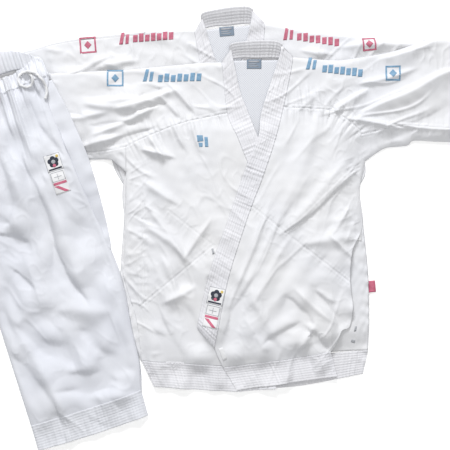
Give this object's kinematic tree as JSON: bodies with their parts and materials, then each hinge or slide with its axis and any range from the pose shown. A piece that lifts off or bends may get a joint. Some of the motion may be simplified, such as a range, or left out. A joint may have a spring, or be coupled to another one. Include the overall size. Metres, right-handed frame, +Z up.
{
  "type": "martial arts uniform",
  "caption": "White competition karate uniform laid flat: crossed-front jackets with stitched lapels, one over the other, and folded drawstring trousers.",
  "frame": {"origin": "centre of the bounding box, on the surface that the clothes lie on", "axes": "+X towards the wearer's left along the sleeves, +Y towards the collars, +Z up off the surface"},
  "size_m": [1.5617, 1.0664, 0.0571],
  "materials": {
    "jacket_cloth": "matt plain-weave cotton blend, crisp, slightly creased",
    "trouser_cloth": "matt plain-weave cotton blend, soft folds",
    "quilted_band": "folded cloth sewn through with close rows of white thread",
    "mesh_lining": "fine diagonal mesh",
    "neck_label": "woven satin label with plain stripes",
    "woven_patch": "woven patch with a plain geometric border",
    "striped_label": "woven label with plain red stripes",
    "blue_thread": "satin-stitched thread",
    "red_thread": "satin-stitched thread",
    "tape": "narrow woven tape",
    "drawcord": "braided cotton cord"
  },
  "bodies": {
    "red_jacket": {"red_back_panel": "jacket_cloth", "red_back_lining": "mesh_lining", "red_size_label": "neck_label", "red_yokes": "jacket_cloth", "red_sleeves_upper": "jacket_cloth", "red_sleeves_under": "jacket_cloth", "red_cuffs": "quilted_band", "red_gussets": "jacket_cloth", "red_left_front": "jacket_cloth", "red_right_front": "jacket_cloth", "red_collar": "quilted_band", "red_lapels": "quilted_band", "red_hem_bands": "quilted_band", "red_marks": "red_thread", "red_inner_ties": "tape", "red_side_tag": "striped_label"},
    "blue_jacket": {"blue_back_panel": "jacket_cloth", "blue_back_lining": "mesh_lining", "blue_size_label": "neck_label", "blue_left_yoke": "jacket_cloth", "blue_right_yoke": "jacket_cloth", "blue_right_sleeve_upper": "jacket_cloth", "blue_right_sleeve_under": "jacket_cloth", "blue_right_cuff": "quilted_band", "blue_right_gusset": "jacket_cloth", "blue_left_side_panel": "jacket_cloth", "blue_right_chest_panel": "jacket_cloth", "blue_right_skirt_panel": "jacket_cloth", "blue_collar": "quilted_band", "blue_right_lapel": "quilted_band", "blue_back_hem_band": "quilted_band", "blue_right_hem_band": "quilted_band", "blue_shoulder_marks": "blue_thread", "blue_right_sleeve_mark": "blue_thread", "blue_chest_mark": "blue_thread", "blue_inner_ties": "tape"},
    "blue_left_front": {"blue_left_chest_panel": "jacket_cloth", "blue_left_skirt_panel": "jacket_cloth", "blue_left_lapel": "quilted_band", "blue_left_hem_band": "quilted_band", "blue_lapel_patch": "woven_patch", "blue_lapel_label": "striped_label", "blue_flap_tie": "tape"},
    "blue_left_sleeve": {"blue_left_sleeve_upper": "jacket_cloth", "blue_left_sleeve_under": "jacket_cloth", "blue_left_cuff": "quilted_band", "blue_left_gusset": "jacket_cloth", "blue_left_sleeve_mark": "blue_thread"},
    "trousers": {"trousers_under_leg_lower": "trouser_cloth", "trousers_under_leg_upper": "trouser_cloth", "trousers_crotch_gusset": "trouser_cloth", "trousers_under_waistband": "quilted_band", "trousers_waist_elastic": "tape", "trousers_under_hem_band": "quilted_band"},
    "trousers_top_leg": {"trousers_top_leg_lower": "trouser_cloth", "trousers_top_leg_upper": "trouser_cloth", "trousers_top_waistband": "quilted_band", "trousers_top_hem_band": "quilted_band", "trousers_thigh_patch": "woven_patch", "trousers_drawcord": "drawcord"}
  },
  "joints": [
    {"name": "blue_jacket_lift", "type": "slide", "parent": "red_jacket", "child": "blue_jacket", "axis": [0, 0, 1], "range_m": [0, 0.3]},
    {"name": "blue_left_front_open", "type": "hinge", "parent": "blue_jacket", "child": "blue_left_front", "pos_m": [0.109, 0.285, 0.0257], "axis": [-0.4399, 0.8981, 0], "range_deg": [0, 110]},
    {"name": "blue_left_sleeve_fold", "type": "hinge", "parent": "blue_jacket", "child": "blue_left_sleeve", "pos_m": [0.28415, 0.3, 0.0222], "axis": [0, -1, 0], "range_deg": [0, 60]},
    {"name": "trousers_lift", "type": "slide", "parent": "blue_jacket", "child": "trousers", "axis": [0, 0, 1], "range_m": [0, 0.3]},
    {"name": "trousers_unfold", "type": "hinge", "parent": "trousers", "child": "trousers_top_leg", "pos_m": [-0.4017, 0.2249, 0.032], "axis": [-0.309, 0.9511, 0], "range_deg": [0, 120]}
  ]
}
